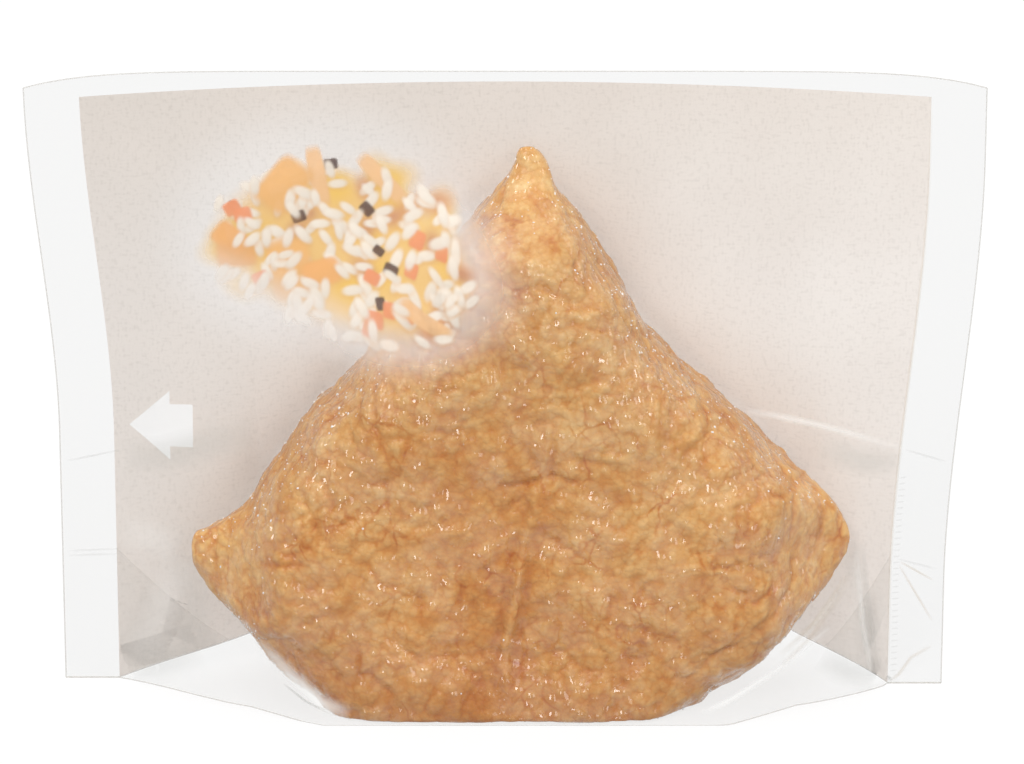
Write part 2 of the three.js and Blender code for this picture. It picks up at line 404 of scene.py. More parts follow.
def food_half_depth():
    """Half depth of the plump pouch on a regular grid: full inside, rounding down to its outline."""
    outline = closed_curve(FOOD_OUTLINE, 8)
    x, z = np.meshgrid(np.arange(*FOOD_SPAN_X, FOOD_GRID), np.arange(*FOOD_SPAN_Z, FOOD_GRID))
    inside = inside_outline(x, np.maximum(z, 1.0), outline)
    fullness = np.zeros_like(x)
    spread = (FOOD_EDGE_LENGTH / FOOD_GRID) ** 2
    for _ in range(FOOD_ROUNDS):
        padded = np.pad(fullness, 1, mode="edge")
        around = padded[:-2, 1:-1] + padded[2:, 1:-1] + padded[1:-1, :-2] + padded[1:-1, 2:]
        fullness = inside * (1.0 + spread * around) / (1.0 + 4.0 * spread)
    depth = FOOD_HALF_DEPTH * np.sqrt(np.clip(1.0 - (1.0 - fullness) ** 2, 0.0, 1.0))
    sagging = 1.0 - smoothstep(np.abs(x - FOOD_SAG["middle"]), FOOD_SAG["full"], FOOD_SAG["ends"])
    depth *= 1.0 + FOOD_SAG["share"] * sagging * (1.0 - smoothstep(z, 0.0, FOOD_SAG["height"]))
    depth = np.minimum(depth, FOOT_CUT["depth"] - (x - FOOT_CUT["from"]) + FOOT_CUT["rise"] * z)
    for (tip_x, tip_z), reach in FOOD_EARS:
        rise = smoothstep(np.hypot(x - tip_x, z - tip_z) / reach, *EAR_RISE)
        depth *= EAR_THINNESS + (1.0 - EAR_THINNESS) * rise
    return np.maximum(depth, FOOD_RIM), outline


def food_base_mesh():
    """A closed, even, smooth mesh of the pouch before its skin is wrinkled."""
    depth_grid, outline = food_half_depth()
    flat, triangles = fill_outline(outline, 1.0)
    depth = sample_grid(depth_grid, flat[:, 0], flat[:, 1], FOOD_SPAN_X[0], FOOD_SPAN_Z[0], FOOD_GRID)
    count = len(flat)
    front = np.stack([flat[:, 0], -depth, flat[:, 1]], axis=1)
    back = front * (1.0, -1.0, 1.0)
    rim = np.arange(len(outline))
    ahead = (rim + 1) % len(outline)
    sides = np.stack([rim, ahead, ahead + count, rim + count], axis=1)
    faces = triangles.tolist() + (triangles[:, ::-1] + count).tolist() + sides.tolist()
    mesh = bpy.data.meshes.new("pouch_base")
    mesh.from_pydata(np.concatenate([front, back]).tolist(), [], faces)
    pouch = link_object("pouch_base", mesh)
    remesh = pouch.modifiers.new("even", "REMESH")
    remesh.mode = "VOXEL"
    remesh.voxel_size = FOOD_VOXEL
    smooth = pouch.modifiers.new("soft", "SMOOTH")
    smooth.iterations = 3
    evaluated = pouch.evaluated_get(bpy.context.evaluated_depsgraph_get())
    result = bpy.data.meshes.new_from_object(evaluated)
    bpy.data.objects.remove(pouch)
    bpy.data.meshes.remove(mesh)
    return result


def wrinkle(point):
    """How far the skin stands out at a point, how deep in a valley line it is, and how far up a dome."""
    moved = point.copy()
    for size, reach in WARPS:
        moved += noise.noise_vector(point / size) * reach
    height = SWELL["height"] * noise.fractal(point / SWELL["size"], 0.9, 2.0, 3)
    line, top = 0.0, 0.0
    for index, lump in enumerate(LUMPS):
        shift = LUMP_SHIFT * index
        level = noise.noise((moved + shift) / lump["size"])
        shown = noise.noise((point + shift) / lump["patch"])
        valley = math.exp(-((level / VALLEY_WIDTH) ** 2)) * min(1.0, max(0.0, 0.2 + 1.8 * shown))
        height += lump["height"] * abs(level) - lump["cut"] * valley
        line += lump["line"] * valley
    for dome in DOMES:
        gap = noise.voronoi(moved / dome["size"])[0][0] / DOME_REACH
        rise = max(0.0, 1.0 - gap * gap)
        height += dome["height"] * rise
        top += dome["share"] * rise
    return height, line, top


def wavy_path(draw):
    """A short bent crease at a seeded place and turn, as points in x and z."""
    start = draw.uniform(*CREASE_AREA)
    length = draw.uniform(*CREASE_LENGTHS)
    turn, bend = draw.uniform(0.0, math.pi), draw.normal(0.0, 0.06)
    along = np.arange(0.0, length, CREASE_WIDTH / 2)
    angle = turn + bend * along + 0.45 * np.sin(along * draw.uniform(0.5, 1.3))
    steps = np.stack([np.cos(angle), np.sin(angle)], axis=1) * CREASE_WIDTH / 2
    return start + np.cumsum(steps, axis=0)


def straight_path(knots):
    """A listed crease as closely set points."""
    knots = np.asarray(knots)
    place = np.linspace(0.0, len(knots) - 1.0, PATH_POINTS)
    index = np.arange(len(knots))
    return np.stack([np.interp(place, index, knots[:, 0]), np.interp(place, index, knots[:, 1])], axis=1)


def wander(path):
    """The same path with small seeded bends."""
    bends = [noise.noise_vector(Vector((x, 7.0, z)) / 3.0) for x, z in path]
    return path + CREASE_WANDER * np.array(bends)[:, [0, 2]]


def carve(points, facing, paths, width):
    """How deep in the creases along some paths the vertices that face one way are, from 0 to 1."""
    depth = np.zeros(len(points))
    flat = points[:, [0, 2]]
    for path in paths:
        middle = path.mean(axis=0)
        reach = np.abs(path - middle).max() + 3.0 * width
        near = np.flatnonzero(facing & (np.abs(flat - middle).max(axis=1) < reach))
        if near.size == 0:
            continue
        gaps = np.hypot(*(flat[near, None, :] - path[None, :, :]).transpose(2, 0, 1))
        nearest = gaps.argmin(axis=1)
        taper = np.sqrt(np.sin(math.pi * (nearest + 0.5) / len(path)))
        depth[near] = np.maximum(depth[near], taper * np.exp(-((gaps.min(axis=1) / width) ** 2)))
    return depth


def creases(points, normals):
    """All the fine and long creases of both faces."""
    draw = np.random.default_rng(SEED)
    front, back = normals[:, 1] < -0.15, normals[:, 1] > 0.15
    fine = carve(points, front, [wavy_path(draw) for _ in range(CREASE_COUNT)], CREASE_WIDTH)
    far = carve(points, back, [wavy_path(draw) for _ in range(CREASE_COUNT)], CREASE_WIDTH)
    long = carve(points, front, [wander(straight_path(knots)) for knots in LONG_CREASES], CREASE_WIDTH)
    return np.maximum(np.maximum(0.6 * fine, 0.6 * far), 0.8 * long)


def centre_fold(points, normals):
    """The shallow upright valley down the middle of the front."""
    x, z = points[:, 0], points[:, 2]
    drift = np.array([noise.noise(Vector((5.0, 1.0, height / 9.0))) for height in z])
    fade = smoothstep(z, *CENTRE_FOLD["rise"]) * (1.0 - smoothstep(z, *CENTRE_FOLD["fade"]))
    across = (x - CENTRE_FOLD["x"] - CENTRE_FOLD["drift"] * drift) / CENTRE_FOLD["width"]
    return np.where(normals[:, 1] < FACING_FRONT, fade * np.exp(-across * across), 0.0)


def middle_shade(points, normals):
    """Painted shade: the broad darker band beside the centre fold."""
    across = (points[:, 0] - MIDDLE_SHADE["x"]) / MIDDLE_SHADE["width"]
    fade = MIDDLE_SHADE["strength"] * (1.0 - smoothstep(points[:, 2], *MIDDLE_SHADE["fade"]))
    return np.where(normals[:, 1] < FACING_FRONT, fade * np.exp(-across * across), 0.0)


def centre_seam(points, normals):
    """The narrow ridge low in the centre fold, which the colour paints pale as a painted highlight, and the
    dark lines of painted shade along both its sides.
    """
    path = straight_path(SEAM_RIDGE)
    ridge = carve(points, normals[:, 1] < FACING_FRONT, [path], SEAM_WIDTH)
    around = carve(points, normals[:, 1] < FACING_FRONT, [path], SEAM_REACH * SEAM_WIDTH)
    return ridge, np.clip(around - ridge, 0.0, 1.0)


def dimples(points, normals):
    """Small hollows of the front."""
    depth = np.zeros(len(points))
    for (x, z), radius, drop in DIMPLES:
        gap = np.hypot(points[:, 0] - x, points[:, 2] - z) / radius
        depth += drop * np.exp(-gap * gap) * (normals[:, 1] < -0.2)
    return depth


def skin_relief(points, normals):
    """How far the skin stands out; how dark it is along the lines between its lumps, with painted shade in
    its creases, beside the seam ridge, in the centre valley and in the dimples; and how far up a dome or the
    seam ridge it is, which the colour paints lighter as a painted highlight.
    """
    height, line, top = np.array([wrinkle(Vector(point)) for point in points]).T
    groove, valley, hollow = creases(points, normals), centre_fold(points, normals), dimples(points, normals)
    ridge, beside = centre_seam(points, normals)
    groove = np.maximum(groove * (1.0 - ridge), beside)
    dented = CREASE_DEPTH * groove + CENTRE_FOLD["depth"] * valley + hollow
    relief = height - height.mean() - dented + SEAM_HEIGHT * ridge
    # Painted shade in the creases, beside the seam ridge, in the centre valley and in the dimples, on top of
    # the darker lines between the lumps
    dark = line * (1.0 - ridge) + groove + 0.2 * valley + 0.4 * hollow
    return relief, dark, np.maximum(top, ridge)


def make_pouch(material):
    """The fried tofu pouch, with lumps, creases, dimples and its centre fold as real relief."""
    noise.seed_set(SEED)
    mesh = food_base_mesh()
    points, normals = mesh_points(mesh)
    relief, dark, tops = skin_relief(points, normals)
    ear = ear_share(points)
    firm = (0.7 + 0.3 * np.abs(normals[:, 1])) * (0.3 + 0.7 * smoothstep(points[:, 2], 0.4, 2.5))
    points = points + normals * (relief * firm * (1.0 - 0.5 * ear))[:, None]
    points[:, 2] = np.maximum(points[:, 2], FOOD_FLOOR)
    mesh.vertices.foreach_set("co", (points * MM).ravel())
    mesh.update()
    mesh.shade_smooth()
    mesh.materials.append(material)
    pouch = link_object("tofu_pouch", mesh)
    # The crease value darkens the skin: its lines between the lumps, and painted shade in creases, valley,
    # dimples and the band beside the fold
    set_attribute(pouch, "crease", np.clip(dark + middle_shade(points, normals), 0.0, 1.0))
    # Height up the domes and the seam ridge, which the colour paints lighter as a painted highlight
    set_attribute(pouch, "dome", tops)
    # How much of an ear each point is, which the colour paints lighter as a painted glow
    set_attribute(pouch, "ear", ear)
    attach(pouch, "root")
    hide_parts("film_bag")
    return points, mesh_points(mesh)[1], tops


def ear_share(points):
    """How much of a thin ear each point is, from 0 to 1."""
    share = np.zeros(len(points))
    for (tip_x, tip_z), reach in FOOD_EARS:
        gap = np.hypot(points[:, 0] - tip_x, points[:, 2] - tip_z) / reach
        share = np.maximum(share, 1.0 - smoothstep(gap, *EAR_TONE))
    return share


def make_painted_glints(points, normals, tops, material):
    """Painted glints on the skin: fine white beads, as one mesh of small uneven balls."""
    draw = np.random.default_rng(SEED + 1)
    upright = np.abs(normals[:, 1])
    turned = np.stack([normals[:, 0], upright, normals[:, 2]], axis=1)
    lit = np.clip(turned @ np.asarray(GLINT_FACING), 0.0, 1.0)
    rim = (upright > 0.1) & (upright < 0.5)
    low = points[:, 2] < LOW_RIM
    weight = 0.3 * tops ** 2 * lit ** 4 + BEAD_RIM * rim * (1.0 + 2.0 * low)
    chosen = draw.choice(len(points), BEAD_COUNT, replace=False, p=weight / weight.sum())
    turns, bands = np.linspace(0.0, 2 * math.pi, BEAD_TURNS), np.linspace(0.0, math.pi, BEAD_BANDS)
    ball = np.stack([np.outer(np.sin(bands), np.cos(turns)), np.outer(np.sin(bands), np.sin(turns)),
                     np.outer(np.cos(bands), np.ones(BEAD_TURNS))], axis=-1).reshape(-1, 3)
    small, large = BEAD_RADII
    radii = small + (large - small) * draw.random(BEAD_COUNT) ** 3
    stretch = 0.5 + draw.random((BEAD_COUNT, 3))
    beads = points[chosen][:, None, :] + radii[:, None, None] * stretch[:, None, :] * ball[None, :, :]
    first = np.arange(BEAD_COUNT)[:, None, None] * len(ball)
    faces = grid_faces(BEAD_BANDS, BEAD_TURNS)[None, :, :] + first
    add_piece("painted_glints", beads.reshape(-1, 3), faces.reshape(-1, 4), material, "film")


# Film

def edge_half_width(edge, z):
    return edge["low"] + (TOP_HALF_WIDTH - edge["low"]) * smoothstep(z, edge["flare_from"], edge["flare_to"])


def column_shares():
    """Where the columns stand: in the left seal, between the seals and in the right seal."""
    seal = np.arange(SEAL_COLUMNS) / SEAL_COLUMNS
    inner = np.arange(INNER_COLUMNS) / INNER_COLUMNS
    return np.concatenate([seal, 1.0 + inner, 2.0 + seal, [3.0]])


def inner_edges(z):
    """Where the left and right seals end inwards at a height."""
    return SEAL_WIDTH - edge_half_width(LEFT_EDGE, z), edge_half_width(RIGHT_EDGE, z) - SEAL_WIDTH


def column_x(share, z):
    """Place across the pack: 0 to 1 is the left seal, 1 to 2 the inside and 2 to 3 the right seal."""
    inner_left, inner_right = inner_edges(z)
    inner = inner_left + (inner_right - inner_left) * np.clip(share - 1.0, 0.0, 1.0)
    return inner - SEAL_WIDTH * np.clip(1.0 - share, 0.0, 1.0) + SEAL_WIDTH * np.clip(share - 2.0, 0.0, 1.0)


def peak_rise(x, peak, side):
    """Rise of the base near a peak, at its front edge, its back edge or between."""
    outward = (x - peak["at"]) * math.copysign(1.0, peak["at"])
    slope = np.where(outward > 0.0, peak["to_seal"], peak["to_middle"])
    share = 1.0 - np.clip(np.abs(outward) / slope, 0.0, 1.0)
    return share * (peak["front"] + (peak["back"] - peak["front"]) * (side + 1.0) / 2)


def bottom_edge(share, side):
    x = column_x(share, 0.0)
    left, right = inner_edges(0.0)
    left_foot = 1.0 - smoothstep(x, left, LEFT_PEAK["at"])
    right_foot = smoothstep(x, RIGHT_PEAK["at"], right)
    lift = peak_rise(x, LEFT_PEAK, side) + peak_rise(x, RIGHT_PEAK, side)
    return lift + LEFT_EDGE["foot"] * left_foot + RIGHT_EDGE["foot"] * right_foot


def top_edge(share):
    across = column_x(share, PACK_HEIGHT) / TOP_HALF_WIDTH
    return PACK_HEIGHT - CORNER_DROOP * np.abs(across) ** DROOP_POWER


def opened_share(distance, gusset):
    return np.clip(distance / gusset["length"], 0.0, 1.0) ** gusset["power"]


def base_half_depth(share):
    x = column_x(share, 0.0)
    left, right = inner_edges(0.0)
    opened = opened_share(x - left, LEFT_GUSSET) * opened_share(right - x, RIGHT_GUSSET)
    return SEAL_HALF_GAP + (BASE_HALF_DEPTH - SEAL_HALF_GAP) * opened


def film_grid(side):
    """The film's points from the front, row by row from the bottom, as x and z."""
    share = column_shares()
    up = np.linspace(0.0, 1.0, FILM_ROWS + 1)[:, None]
    low = bottom_edge(share, side)
    z = low + (top_edge(share) - low) * up
    return column_x(share[None, :], z), z


def food_reach(points, side, x, z):
    """How far the food stands out towards one side at each point of the film."""
    spacing, rows, columns, left = REACH_GRID.values()
    grid = np.zeros((rows, columns))
    facing = points[points[:, 1] * side > 0]
    column = ((facing[:, 0] - left) / spacing + 0.5).astype(int)
    row = (facing[:, 2] / spacing + 0.5).astype(int)
    np.maximum.at(grid, (row, column), facing[:, 1] * side)
    padded = np.pad(grid, 1)
    near = [padded[i:i + rows, j:j + columns] for i in range(3) for j in range(3)]
    return sample_grid(np.max(near, axis=0), x, z, left, 0.0, spacing)


def film_half_depth(points, side, x, z):
    """Film drawn tight over the food, held flat at the seals and the top and opened at the base."""
    share = column_shares()
    food = food_reach(points, side, x, z)
    least = np.where(food > 0.0, food + FILM_CLEARANCE, SEAL_HALF_GAP)
    depth = np.full(x.shape, SEAL_HALF_GAP)
    depth[0] = base_half_depth(share)
    inner = slice(SEAL_COLUMNS + 1, SEAL_COLUMNS + INNER_COLUMNS)
    step = PACK_HEIGHT / FILM_ROWS
    cling = smoothstep(z, DRAPE["from"], DRAPE["to"]) * (step / DRAPE["length"]) ** 2
    pull = 4.0 + cling[1:-1, 1:-1]
    for _ in range(RELAX_ROUNDS):
        around = depth[:-2, 1:-1] + depth[2:, 1:-1] + depth[1:-1, :-2] + depth[1:-1, 2:]
        relaxed = np.maximum(around / pull, least[1:-1, 1:-1])
        depth[1:-1, inner] = relaxed[:, inner.start - 1:inner.stop - 1]
    return depth


def share_at(x, z):
    """The place across the pack, as column_x counts it, of points at a height."""
    inner_left, inner_right = inner_edges(z)
    inner = 1.0 + np.clip((x - inner_left) / (inner_right - inner_left), 0.0, 1.0)
    in_left_seal = np.clip((inner_left - x) / SEAL_WIDTH, 0.0, 1.0)
    in_right_seal = np.clip((x - inner_right) / SEAL_WIDTH, 0.0, 1.0)
    return inner - in_left_seal + in_right_seal


def on_film(depth, side, x, z, inset=0.0):
    """Points of the film at x and z, or a little inside it."""
    x, z = np.asarray(x, dtype=float), np.asarray(z, dtype=float)
    share = share_at(x, z)
    low, high = bottom_edge(share, side), top_edge(share)
    row = np.clip((z - low) / (high - low), 0.0, 1.0) * FILM_ROWS
    column = np.interp(share, column_shares(), np.arange(depth.shape[1]))
    reach = sample_grid(depth, column, row, 0.0, 0.0, 1.0)
    return np.stack([x, side * (reach - inset), z], axis=-1)


def make_film(points, material, base_material):
    """Front and back film with their seals, and the base panel that opens from the gusset."""
    depths = {}
    for name, side in (("film_front", FRONT), ("film_back", BACK)):
        x, z = film_grid(side)
        depths[side] = film_half_depth(points, side, x, z)
        skin = np.stack([x, side * depths[side], z], axis=-1).reshape(-1, 3)
        faces = grid_faces(*x.shape)
        piece = add_piece(name, skin, faces if side == FRONT else faces[:, ::-1], material, "film")
        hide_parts("film_bag")
    make_gusset(base_material)
    return depths


def tube(path, radius, sides=6):
    """Points and quads of a thin tube along a path."""
    path = np.asarray(path)
    ahead = np.gradient(path, axis=0)
    ahead /= np.linalg.norm(ahead, axis=1, keepdims=True)
    across = np.cross(ahead, (0.0, 1.0, 0.0))
    across /= np.linalg.norm(across, axis=1, keepdims=True)
    upright = np.cross(across, ahead)
    angles = np.arange(sides + 1) * 2 * math.pi / sides
    out, up = np.cos(angles)[None, :, None], np.sin(angles)[None, :, None]
    ring = across[:, None, :] * out + upright[:, None, :] * up
    points = path[:, None, :] + radius * ring
    return points.reshape(-1, 3), grid_faces(len(path), sides + 1)


def join_tubes(paths, radius):
    """Several tubes as one set of points and quads."""
    all_points, all_faces, count = [], [], 0
    for path in paths:
        points, faces = tube(path, radius)
        all_points.append(points)
        all_faces.append(faces + count)
        count += len(points)
    return np.concatenate(all_points), np.concatenate(all_faces)


def make_film_edges(depths, material):
    """The cut and folded edges of the film, as fine beads that catch the light."""
    sides = {}
    for side in (FRONT, BACK):
        x, z = film_grid(side)
        sides[side] = np.stack([x, side * depths[side], z], axis=-1)
    front = sides[FRONT]
    paths = [front[:, 0], front[:, -1], front[-1], front[0], sides[BACK][0]]
    add_piece("film_edges", *join_tubes(paths, EDGE_RADIUS), material, "film")


def soft_strip(depths, knots, width, strength):
    """A strip along a fold of the front film, and how strongly each of its points shows."""
    path = straight_path(knots)[np.linspace(0, PATH_POINTS - 1, FOLD_STEPS).astype(int)]
    ahead = np.gradient(path, axis=0)
    ahead /= np.linalg.norm(ahead, axis=1, keepdims=True)
    across = np.linspace(-1.0, 1.0, FOLD_STRIPS)[None, :]
    x = path[:, :1] - ahead[:, 1:] * across * width / 2
    z = path[:, 1:] + ahead[:, :1] * across * width / 2
    points = on_film(depths[FRONT], FRONT, x, np.maximum(z, 0.5), -FOLD_LIFT)
    fade = np.sin(np.linspace(0.0, math.pi, FOLD_STEPS))[:, None] ** 0.6
    return points.reshape(-1, 3), strength * ((1.0 - across ** 2) ** 2 * fade).ravel()


def make_folds(name, folds, depths, material):
    """Soft folds of the front film as one piece of thin strips that fade out to their edges."""
    strips = [soft_strip(depths, *fold) for fold in folds]
    quads = grid_faces(FOLD_STEPS, FOLD_STRIPS)
    faces = [quads + index * FOLD_STEPS * FOLD_STRIPS for index in range(len(strips))]
    points = np.concatenate([strip[0] for strip in strips])
    piece = add_piece(name, points, np.concatenate(faces), material, "film")
    set_attribute(piece, "cover", np.concatenate([strip[1] for strip in strips]))


def seal_ticks():
    """The short crimp marks down the inner edge of the right seal, as folds."""
    ticks = []
    for z in np.arange(*TICK_SPAN, TICK_PITCH):
        x = float(column_x(np.array(TICK_SHARE), z))
        ticks.append(([(x, z), (x + TICK_LENGTH, z + 0.1)], TICK_WIDTH, TICK_STRENGTH))
    return ticks


def print_edge(share):
    """The line where the print ends at a seal, as one long fold."""
    heights = np.linspace(2.0, PANEL_TOP - PANEL_CORNER_DROP, 12)
    return [(float(column_x(np.array(share), z)), z) for z in heights]


def ridge_rise(share):
    """How far the folded base panel still stands up at each column, highest at the seals."""
    x = column_x(share, 0.0)
    left, right = inner_edges(0.0)
    left_share = 1.0 - np.clip((x - left) / LEFT_GUSSET["ridge"], 0.0, 1.0)
    right_share = 1.0 - np.clip((right - x) / RIGHT_GUSSET["ridge"], 0.0, 1.0)
    return RIDGE_RISE * (left_share ** RIDGE_CURVE + right_share ** RIDGE_CURVE)


def make_gusset(material):
    share = column_shares()[SEAL_COLUMNS:SEAL_COLUMNS + INNER_COLUMNS + 1]
    across = np.linspace(FRONT, BACK, GUSSET_STRIPS + 1)[:, None]
    y = across * base_half_depth(share)
    z = bottom_edge(share[None, :], across) + ridge_rise(share) * (1.0 - np.abs(across)) + 0.03
    x = column_x(share[None, :], z)
    skin = np.stack([x, y, z], axis=-1).reshape(-1, 3)
    piece = add_piece("film_base", skin, grid_faces(*x.shape)[:, ::-1], material, "film")
    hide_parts("film_bag")


# Print

def make_back_panel(depths, material, outside_material):
    """The beige print inside the back film, up to just below the top edge, and its closed outer side."""
    share = column_shares()[SEAL_COLUMNS:SEAL_COLUMNS + INNER_COLUMNS + 1]
    across = column_x(share, PACK_HEIGHT) / TOP_HALF_WIDTH
    top = PANEL_TOP - PANEL_CORNER_DROP * across ** 2 / 0.79
    up = np.linspace(0.0, 1.0, FILM_ROWS + 1)[:, None]
    low = bottom_edge(share, BACK) + 0.1
    z = low + (top - low) * up
    x = column_x(share[None, :], z)
    faces = grid_faces(*x.shape)[:, ::-1]
    outside = on_film(depths[BACK], BACK, x, z, PRINT_INSET / 2).reshape(-1, 3)
    cover = add_piece("printed_outside", outside, faces, outside_material, "printed_film")
    cover.visible_diffuse = cover.visible_transmission = cover.visible_shadow = False
    points = on_film(depths[BACK], BACK, x, z, PRINT_INSET).reshape(-1, 3)
    piece = add_piece("printed_back", points, faces, material, "printed_film")
    across, up = (x - PICTURE_CENTRE[0]) / GLOW_RADII[0], (z - PICTURE_CENTRE[1]) / GLOW_RADII[1]
    set_attribute(piece, "glow", 1.0 - smoothstep(np.hypot(across, up), 0.6, 1.1).ravel())


def paint(canvas, cover, colour):
    """Lays a colour over the canvas, whose fourth channel says how solid its ink is so far."""
    solid = cover + canvas[..., 3] * (1.0 - cover)
    share = cover / np.maximum(solid, 1e-6)
    canvas[..., :3] += (np.asarray(colour) - canvas[..., :3]) * share[..., None]
    canvas[..., 3] = solid


def paint_morsel(canvas, u_axis, v_axis, morsel):
    """One morsel of food, with a soft shadow below it where it is crisp, lit from the upper left."""
    length, width = morsel["size"]
    reach = 1.5 * length
    columns = slice(*np.searchsorted(u_axis, (morsel["u"] - reach, morsel["u"] + reach)))
    rows = slice(*np.searchsorted(v_axis, (morsel["v"] - reach, morsel["v"] + reach)))
    u, v = np.meshgrid(u_axis[columns] - morsel["u"], v_axis[rows] - morsel["v"])
    patch = canvas[rows, columns]
    cos, sin = math.cos(morsel["turn"]), math.sin(morsel["turn"])
    along, across = (u * cos + v * sin) / length, (v * cos - u * sin) / width
    low_along, low_across = along + 0.35 * sin / length, across + 0.35 * cos / width
    power, soft, swell = morsel["square"], morsel["soft"], morsel["round"]
    edge = (np.abs(along) ** power + np.abs(across) ** power) ** (1.0 / power)
    below = (np.abs(low_along) ** power + np.abs(low_across) ** power) ** (1.0 / power)
    shadow = 0.5 * (1.0 - soft) * patch[..., 3] * (1.0 - smoothstep(below, 0.7, 1.3))
    paint(patch, shadow, GRAIN_SHADOW)
    dome = np.sqrt(np.clip(1.0 - edge ** 2, 0.0, 1.0))
    lit = 1.0 - swell + swell * (dome + 0.5 * np.clip(v - 0.6 * u, -1.0, 1.0))
    colour = np.clip(np.asarray(morsel["colour"]) * lit[..., None], 0.0, 0.92)
    paint(patch, 0.92 * (1.0 - smoothstep(edge, 1.0 - soft, 1.12)), colour)


def mound_place(along, up):
    """Where a point of the tilted mound lies in the picture."""
    cos, sin = math.cos(MOUND_TILT), math.sin(MOUND_TILT)
    return MOUND_SHIFT[0] + along * cos - up * sin, MOUND_SHIFT[1] + along * sin + up * cos


def morsels(kind, draw):
    """Morsels of one kind: those with places of their own, and seeded ones spread over the mound."""
    places = list(kind.get("placed", []))
    for _ in range(kind["count"]):
        radius, angle = 0.98 * math.sqrt(draw.random()), draw.random() * 2 * math.pi
        along, up = radius * math.cos(angle) * MOUND_RADII[0], radius * math.sin(angle) * MOUND_RADII[1]
        places.append(mound_place(along, up))
    spots = []
    for u, v in places:
        grow, shade = 0.85 + 0.3 * draw.random(), 0.95 + 0.07 * draw.random()
        spots.append(kind | {
            "u": u, "v": v, "turn": draw.random() * math.pi, "size": [half * grow for half in kind["size"]],
            "colour": [part * shade for part in kind["colour"]],
        })
    return spots


def picture_ink(u_axis, v_axis):
    """Colour and cover of the printed picture: a mound of mixed rice, and a pale mist towards the food."""
    draw = np.random.default_rng(SEED)
    u, v = np.meshgrid(u_axis, v_axis)
    right, above = u - MOUND_SHIFT[0], v - MOUND_SHIFT[1]
    along = right * math.cos(MOUND_TILT) + above * math.sin(MOUND_TILT)
    up = above * math.cos(MOUND_TILT) - right * math.sin(MOUND_TILT)
    reach = np.hypot(along / MOUND_RADII[0], up / MOUND_RADII[1])
    towards_food = smoothstep(u * MIST_SIDE[0] + v * MIST_SIDE[1], MIST_FROM, MIST_TO)
    mist = MIST_COVER * towards_food * (1.0 - smoothstep(reach, 0.85, MIST_REACH))
    canvas = np.ones(u.shape + (4,)) * (*GLOW_INK, 0.0)
    canvas[..., 3] = mist
    paint(canvas, 1.0 - smoothstep(reach, 0.66, 1.0), RICE_FIELD)
    layers = [morsels(kind, draw) for kind in MORSELS]
    fields, pieces = layers[0] + layers[1], sum(layers[2:], [])
    for morsel in fields + sorted(pieces, key=lambda one: 9.0 * draw.random() - one["v"]):
        paint_morsel(canvas, u_axis, v_axis, morsel)
    fade = 0.6 * smoothstep(-up - 0.25 * along, 5.0, 14.0)
    canvas[..., :3] += (np.asarray(GLOW_INK) - canvas[..., :3]) * fade[..., None]
    return canvas[..., :3], np.maximum((0.96 - 0.5 * fade) * canvas[..., 3], mist)


def make_picture(depths, material):
    """The picture as ink on a fine mesh just inside the front film."""
    half = MIST_REACH * MOUND_RADII[0]
    v_axis = np.arange(-half, half, PICTURE_PIXEL)
    u_axis = v_axis + MOUND_SHIFT[0]
    colour, cover = picture_ink(u_axis, v_axis)
    u, v = np.meshgrid(u_axis, v_axis)
    points = on_film(depths[FRONT], FRONT, PICTURE_CENTRE[0] + u, PICTURE_CENTRE[1] + v, PRINT_INSET)
    faces = grid_faces(*u.shape)
    inked = (cover.ravel() > 0.004)[faces].all(axis=1)
    used, faces = np.unique(faces[inked], return_inverse=True)
    points, faces = points.reshape(-1, 3)[used], faces.reshape(-1, 4)
    piece = add_piece("printed_picture", points, faces, material, "printed_film")
    ink = piece.data.color_attributes.new("ink", "FLOAT_COLOR", "POINT")
    values = np.concatenate([colour.reshape(-1, 3), cover.reshape(-1, 1)], axis=1)[used]
    ink.data.foreach_set("color", values.astype(np.float32).ravel())


def subdivided(corners, steps):
    """The closed outline through some corners, with more points along its straight edges."""
    start, end = np.asarray(corners), np.roll(corners, -1, axis=0)
    share = np.arange(steps)[None, :, None] / steps
    return (start[:, None, :] + (end - start)[:, None, :] * share).reshape(-1, 2)


def make_arrow(depths, material):
    """The plain white tear arrow at the left seal."""
    x, z = ARROW_TIP
    neck, tail = x + ARROW_HEAD[0], x + ARROW_HEAD[0] + ARROW_TAIL[0]
    corners = [(x, z), (neck, z + ARROW_HEAD[1]), (neck, z + ARROW_TAIL[1]), (tail, z + ARROW_TAIL[1]),
               (tail, z - ARROW_TAIL[1]), (neck, z - ARROW_TAIL[1]), (neck, z - ARROW_HEAD[1])]
    flat, triangles = fill_outline(subdivided(corners, 12), 0.5)
    points = on_film(depths[FRONT], FRONT, flat[:, 0], flat[:, 1], 2 * PRINT_INSET)
    add_piece("printed_arrow", points, triangles, material, "printed_film")


# Materials

def new_material(name):
    material = bpy.data.materials.new(name)
    material.use_nodes = True
    tree = material.node_tree
    tree.nodes.clear()
    output = tree.nodes.new("ShaderNodeOutputMaterial")
    return material, tree, output


def add_node(tree, kind, inputs=None, **settings):
    """A node with its settings, whose inputs are set to values or linked from other nodes' sockets."""
    node = tree.nodes.new(kind)
    for key, value in settings.items():
        setattr(node, key, value)
    for key, value in (inputs or {}).items():
        if isinstance(value, bpy.types.NodeSocket):
            tree.links.new(value, node.inputs[key])
        else:
            node.inputs[key].default_value = value
    return node


def ramp(tree, factor, stops):
    node = add_node(tree, "ShaderNodeValToRGB", {"Fac": factor})
    elements = node.color_ramp.elements
    while len(elements) < len(stops):
        elements.new(0.5)
    for element, (place, colour) in zip(elements, stops):
        element.position = place
        element.color = (*colour, 1.0)
    return node.outputs["Color"]


